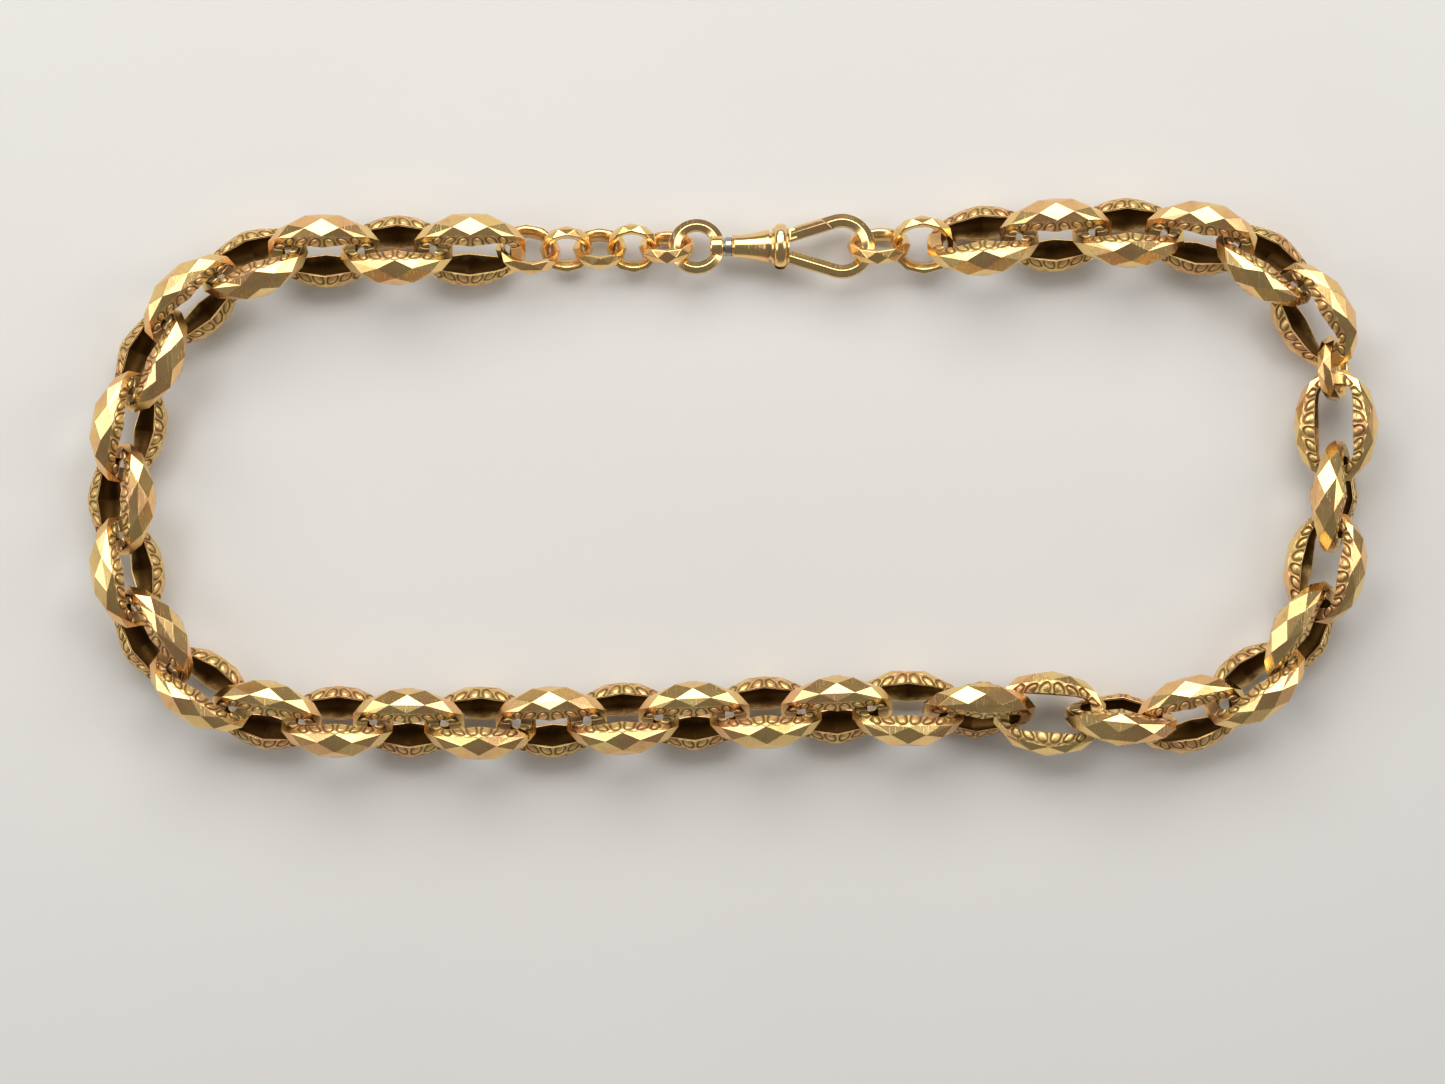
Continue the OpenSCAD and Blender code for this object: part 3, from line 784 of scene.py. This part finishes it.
def swivel_ring_mesh():
    """Ring and boss in one, with a bore for the stud and a wider seat for its head."""
    section = roof(SWIVEL_BAND, SWIVEL_DEPTH)
    middle = SWIVEL_D / 2 - SWIVEL_BAND / 2
    turns = [2 * math.pi * k / SWIVEL_STEPS for k in range(SWIVEL_STEPS)]
    ring = swept([bent(section, SWIVEL_X, middle, a) for a in turns], "swivel_band", closed=True)
    flat = BOSS_D / 2 - BOSS_ROUND
    edge = []
    for k in range(EDGE_STEPS + 1):
        a = math.pi / 2 * k / EDGE_STEPS
        edge.append((BOSS_ROUND * (1 - math.cos(a)), flat + BOSS_ROUND * math.sin(a)))
    outline = [(BOSS_START, 0)] + [(BOSS_START + x, r) for x, r in edge]
    outline += [(BOSS_END - x, r) for x, r in reversed(edge)] + [(BOSS_END, 0)]
    whole = cut(ring, "swivel_union", lathe(outline, "boss"), "UNION")
    seat, bore = HEAD_D / 2 + RUNNING_GAP, STUD_D / 2 + RUNNING_GAP
    seat_start, seat_end = BOSS_START - BOSS_LENGTH, BOSS_START + HEAD_LENGTH + RUNNING_GAP
    past = BOSS_END + COLLAR_LENGTH
    stepped = [(seat_start, 0), (seat_start, seat), (seat_end, seat)]
    stepped += [(seat_end, bore), (past, bore), (past, 0)]
    bored = cut(whole, "swivel_bored", lathe(stepped, "stepped_bore"))
    bored.set_sharp_from_angle(angle=SHARP)
    return bored


def barrel_mesh():
    """Flared barrel with a rim, a groove and a bead between two fillets, and a slot for the gate."""
    small, large = BARREL_SMALL_D / 2, BARREL_LARGE_D / 2
    outline = [(BARREL_END, 0), (BARREL_END, small - BARREL_EDGE), (BARREL_END + BARREL_EDGE, small)]
    for k in range(1, FLARE_STEPS + 1):
        t = k / FLARE_STEPS
        flare = small + (large - small) * t ** 2
        outline.append((BARREL_END + (BARREL_LENGTH - RIM_LENGTH) * t, flare - FLARE_INSET))
    outline += [(-BEAD_LENGTH - GROOVE + x, large + r) for x, r in RIM_STEPS]
    outline += [(-BEAD_LENGTH + x, large + r) for x, r in NEAR_FILLET]
    swell = BEAD_D / 2 - large - BEAD_FOOT
    for k in range(BEAD_STEPS + 1):
        a = math.pi * k / BEAD_STEPS
        x = -BEAD_LENGTH / 2 - BEAD_ROUND * math.cos(a)
        outline.append((x, large + BEAD_FOOT + swell * math.sin(a) ** BEAD_POWER))
    outline += [(x, large + r) for x, r in FAR_FILLET] + [(0, 0)]
    barrel = lathe(outline, "barrel_turned")
    height = TONGUE_DEPTH + 2 * RUNNING_GAP
    slot = block((SLOT_FLOOR - BEAD_LENGTH / 2, 0, 0), (BEAD_LENGTH, 2 * BEAD_D, height))
    slotted = cut(barrel, "barrel_slotted", as_mesh(slot, "slot"))
    slotted.set_sharp_from_angle(angle=SHARP)
    return slotted


BOW_MIDDLE = BOW_WIDTH / 2 - BOW_BAR / 2
BOW_X = BOW_LENGTH - BOW_WIDTH / 2
ARM_Y = ARM_SPACING / 2
ARM_SLOPE = math.asin(BOW_MIDDLE / math.hypot(BOW_X, ARM_Y)) - math.atan(ARM_Y / BOW_X)
ARM_LENGTH = math.sqrt(BOW_X ** 2 + ARM_Y ** 2 - BOW_MIDDLE ** 2)


def bow_mesh():
    """Bar of the bow: up the lower arm, round the end and back to the oblique joint."""
    section = roof(BOW_BAR, BOW_DEPTH)

    def on_arm(along, out, up, side):
        x = along * math.cos(ARM_SLOPE) - out * math.sin(ARM_SLOPE)
        y = ARM_Y + along * math.sin(ARM_SLOPE) + out * math.cos(ARM_SLOPE)
        return (x, side * y, up)

    rings = [[on_arm(along, v.x, v.y, -1) for v in section] for along in (ARM_ROOT, ARM_LENGTH / 2)]
    for k in range(BOW_STEPS + 1):
        a = -math.pi / 2 - ARM_SLOPE + (math.pi + 2 * ARM_SLOPE) * k / BOW_STEPS
        rings.append(bent(section, BOW_X, BOW_MIDDLE, a))
    cut_at = GATE_LENGTH + 2 * RUNNING_GAP
    rings.append([on_arm((cut_at + ARM_LENGTH) / 2, v.x, v.y, 1) for v in section])
    rings.append([on_arm(cut_at - v.x * math.tan(JOINT_SLANT), v.x, v.y, 1) for v in section])
    return swept(rings, "bow_bar")


def stud_mesh():
    """Stud with a domed head in the boss and a collar against the barrel."""
    head, stem, collar = HEAD_D / 2, STUD_D / 2, COLLAR_D / 2
    head_end, collar_start = BOSS_START + HEAD_LENGTH, BARREL_END - COLLAR_LENGTH
    outline = [(BOSS_START, 0)] + [(BOSS_START + x, head * share) for x, share in HEAD_DOME]
    outline += [(head_end, head), (head_end, stem), (collar_start, stem)]
    outline += [(collar_start, collar - COLLAR_EDGE), (collar_start + COLLAR_EDGE, collar)]
    outline += [(BARREL_END - COLLAR_EDGE, collar), (BARREL_END, collar - COLLAR_EDGE), (BARREL_END, stem)]
    outline += [(BARREL_END + STUD_DEPTH, stem), (BARREL_END + STUD_DEPTH, 0)]
    return lathe(outline, "stud_turned")


def gate_mesh():
    """A copy of the gate's solid with its edges rounded."""
    bm = bmesh.new()
    bm.from_mesh(nodes["gate"].data)
    bmesh.ops.scale(bm, vec=(1 / MM,) * 3, verts=bm.verts)
    bmesh.ops.remove_doubles(bm, verts=bm.verts, dist=MERGE)
    bmesh.ops.dissolve_limit(bm, angle_limit=math.radians(1), verts=bm.verts, edges=bm.edges)
    sharp = [e for e in bm.edges if e.is_manifold and e.calc_face_angle() > GATE_SHARP]
    bmesh.ops.bevel(
        bm, geom=sharp, offset=GATE_ROUND, segments=2, profile=0.5, affect="EDGES", clamp_overlap=True
    )
    for face in bm.faces:
        face.smooth = True
    bmesh.ops.scale(bm, vec=(MM,) * 3, verts=bm.verts)
    mesh = bpy.data.meshes.new("gate_rounded")
    bm.to_mesh(mesh)
    bm.free()
    mesh.set_sharp_from_angle(angle=SHARP)
    return mesh


show(swivel_ring_mesh(), "swivel_ring_turned", clip_gold, "swivel_ring", "swivel_ring")
show(stud_mesh(), "swivel_stud_turned", steel, "swivel_stud", "clip")
show(barrel_mesh(), "flared_barrel", clip_gold, "barrel", "clip")
show(bow_mesh(), "pear_bow", clip_gold, "bow", "clip")
show(gate_mesh(), "bow_gate", clip_gold, "gate", "gate")
for node in ("gate_pin", "gate_spring"):
    nodes[node].data.materials.clear()
    nodes[node].data.materials.append(steel)


# Table, light and camera, in metres

TABLE_REACH = 1.6
WARM_WHITE = (1, 0.98, 0.95)
SENSOR_WIDTH = 36
# Width of the picture, and the level above the table where it is measured
FRAME_WIDTH, FRAME_LEVEL = 0.1951, 0.005
CAMERA_X, CAMERA_Y, CAMERA_HEIGHT = -0.0012, -0.0086, 0.6


def pale_table():
    material, bench = surface("pale_table")
    place = bench.add("ShaderNodeTexCoord", output="Object")
    tint = bench.noise(place, 14.0, 2.0)
    colour = bench.mix(tint, (0.74, 0.735, 0.72, 1), (0.70, 0.695, 0.68, 1))
    finished(bench, Base_Color=colour, Roughness=0.75)
    return material


table_corners = [(x * TABLE_REACH, y * TABLE_REACH, 0) for x, y in ((-1, -1), (1, -1), (1, 1), (-1, 1))]
table_mesh = bpy.data.meshes.new("table")
table_mesh.from_pydata(table_corners, [], [(0, 1, 2, 3)])
table_mesh.materials.append(pale_table())
table = bpy.data.objects.new("table", table_mesh)
bpy.context.scene.collection.objects.link(table)


def lamp(name, place, size, watts):
    """A warm white panel that faces the chain."""
    data = bpy.data.lights.new(name, "AREA")
    data.shape = "RECTANGLE"
    data.size, data.size_y = size
    data.energy = watts
    data.color = WARM_WHITE
    made = bpy.data.objects.new(name, data)
    made.location = place
    made.rotation_euler = (-Vector(place)).to_track_quat("-Z", "Y").to_euler()
    bpy.context.scene.collection.objects.link(made)


lamp("key_light", (-0.05, 0.45, 0.50), (0.8, 0.5), 4.8)
lamp("side_light", (-0.55, 0.0, 0.40), (0.3, 0.5), 1.1)
lamp("far_light", (0.55, 0.1, 0.45), (0.3, 0.4), 1.1)

world = bpy.data.worlds.new("studio")
world.use_nodes = True
world.node_tree.nodes.clear()
sky = Bench(world.node_tree)
glow = sky.add("ShaderNodeBackground", None, {"Color": (1, 0.97, 0.93, 1), "Strength": 0.18})
sky.add("ShaderNodeOutputWorld", None, {"Surface": glow})
bpy.context.scene.world = world
bpy.context.scene.view_settings.view_transform = "Standard"

camera_data = bpy.data.cameras.new("camera")
camera_data.sensor_fit = "HORIZONTAL"
camera_data.sensor_width = SENSOR_WIDTH
camera_data.lens = SENSOR_WIDTH * (CAMERA_HEIGHT - FRAME_LEVEL) / FRAME_WIDTH
camera_data.clip_start = 0.01
camera = bpy.data.objects.new("camera", camera_data)
camera.location = (CAMERA_X, CAMERA_Y, CAMERA_HEIGHT)
bpy.context.scene.collection.objects.link(camera)
bpy.context.scene.camera = camera
